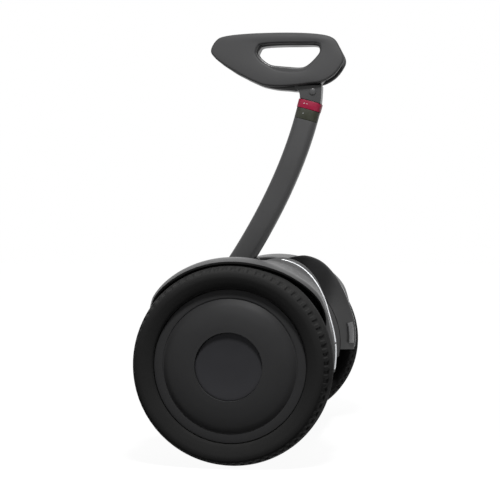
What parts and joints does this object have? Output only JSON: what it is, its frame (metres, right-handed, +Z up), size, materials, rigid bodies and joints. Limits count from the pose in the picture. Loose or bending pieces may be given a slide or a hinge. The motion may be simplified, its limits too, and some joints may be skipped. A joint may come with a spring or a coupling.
{
  "type": "self balancing personal transporter",
  "caption": "Self-balancing personal transporter with hub-motor wheels, fenders, a low foot deck and a curved leaning steering stem that carries knee pads round a carrying loop.",
  "frame": {"origin": "on the ground, midway between the two wheels and straight below their common axis", "axes": "+X forwards, towards the steering stem's foot; +Y towards the rider's left; +Z up"},
  "size_m": [0.2603, 0.548, 0.5914],
  "materials": {
    "tyre": "black rubber, matt tread, smooth sidewall",
    "cast_alloy": "die-cast light alloy, satin",
    "steel": "ground steel",
    "winding": "enamelled copper winding on a laminated core",
    "shell": "black moulded plastic with a fine texture",
    "hub_cap": "black satin plastic",
    "liner": "deep black plastic",
    "mat": "black ribbed rubber",
    "light": "white diffuser",
    "reflector": "clear reflector lens",
    "circuit": "green laminate",
    "battery_case": "sealed metal case, painted black",
    "stem_coat": "dark grey satin coat",
    "head_shell": "dark grey moulded plastic",
    "knee_pad": "soft dark grey skin over foam",
    "collar_red": "crimson plastic",
    "sleeve_olive": "dark olive plastic",
    "display_glass": "smoked window"
  },
  "bodies": {
    "chassis": {"chassis_frame": "cast_alloy", "belly_cover": "shell", "battery_pack": "battery_case", "control_board": "circuit", "spine_cover": "shell", "display_window": "display_glass", "front_cowl": "shell", "head_lamp_lens": "light", "rear_panel": "shell", "charge_port": "liner", "pivot_bearings": "steel", "centring_spring": "steel", "fender_left": "shell", "light_strip_left": "light", "inner_liner_left": "liner", "rear_reflector_left": "reflector", "axle_clamp_left": "cast_alloy", "axle_left": "steel", "wheel_bearings_left": "steel", "stator_left": "winding", "foot_sensor_left": "circuit", "fender_right": "shell", "light_strip_right": "light", "inner_liner_right": "liner", "rear_reflector_right": "reflector", "axle_clamp_right": "cast_alloy", "axle_right": "steel", "wheel_bearings_right": "steel", "stator_right": "winding", "foot_sensor_right": "circuit"},
    "wheel_left": {"tyre_left": "tyre", "rim_left": "cast_alloy", "rotor_cover_left": "cast_alloy", "magnet_ring_left": "steel", "hub_cover_left": "shell", "centre_cap_left": "hub_cap", "valve_stem_left": "tyre"},
    "wheel_right": {"tyre_right": "tyre", "rim_right": "cast_alloy", "rotor_cover_right": "cast_alloy", "magnet_ring_right": "steel", "hub_cover_right": "shell", "centre_cap_right": "hub_cap", "valve_stem_right": "tyre"},
    "stem": {"pivot_shaft": "steel", "stem_socket": "stem_coat", "dust_shield": "liner", "stem_tube": "stem_coat", "scale_sleeve": "sleeve_olive", "collar": "collar_red"},
    "stem_latch": {"stem_latch": "liner"},
    "head": {"head_mast": "stem_coat", "head_core": "head_shell", "knee_pad_left": "knee_pad", "knee_pad_right": "knee_pad"},
    "height_button": {"height_button": "liner"},
    "mat_left": {"foot_mat_left": "mat"},
    "mat_right": {"foot_mat_right": "mat"},
    "power_button": {"power_button": "liner"},
    "charge_cap": {"charge_cap": "mat"}
  },
  "joints": [
    {"name": "wheel_left_spin", "type": "hinge", "parent": "chassis", "child": "wheel_left", "pos_m": [0, 0.235, 0.13], "axis": [0, 1, 0], "continuous": true},
    {"name": "wheel_right_spin", "type": "hinge", "parent": "chassis", "child": "wheel_right", "pos_m": [0, -0.235, 0.13], "axis": [0, 1, 0], "continuous": true},
    {"name": "stem_lean", "type": "hinge", "parent": "chassis", "child": "stem", "pos_m": [0.1, 0, 0.085], "axis": [1, 0, 0], "range_deg": [-12, 12], "stiffness_Nm_per_rad": 30},
    {"name": "stem_latch_swing", "type": "hinge", "parent": "stem", "child": "stem_latch", "pos_m": [0.01799, 0, 0.22797], "axis": [0, -1, 0], "range_deg": [0, 95]},
    {"name": "head_height", "type": "slide", "parent": "stem", "child": "head", "axis": [-0.2672, 0, 0.9636], "range_m": [0, 0.03]},
    {"name": "height_button_press", "type": "slide", "parent": "head", "child": "height_button", "axis": [0, -1, 0], "range_m": [0, 0.0015], "stiffness_N_per_m": 400, "springref_m": -0.002},
    {"name": "mat_left_press", "type": "slide", "parent": "chassis", "child": "mat_left", "axis": [0, 0, -1], "range_m": [0, 0.0015], "stiffness_N_per_m": 4000, "springref_m": -0.001},
    {"name": "mat_right_press", "type": "slide", "parent": "chassis", "child": "mat_right", "axis": [0, 0, -1], "range_m": [0, 0.0015], "stiffness_N_per_m": 4000, "springref_m": -0.001},
    {"name": "power_button_press", "type": "slide", "parent": "chassis", "child": "power_button", "axis": [0, 0, -1], "range_m": [0, 0.0012], "stiffness_N_per_m": 500, "springref_m": -0.002},
    {"name": "charge_cap_swing", "type": "hinge", "parent": "chassis", "child": "charge_cap", "pos_m": [-0.0932, -0.07, 0.072], "axis": [0, -1, 0], "range_deg": [0, 100]}
  ]
}
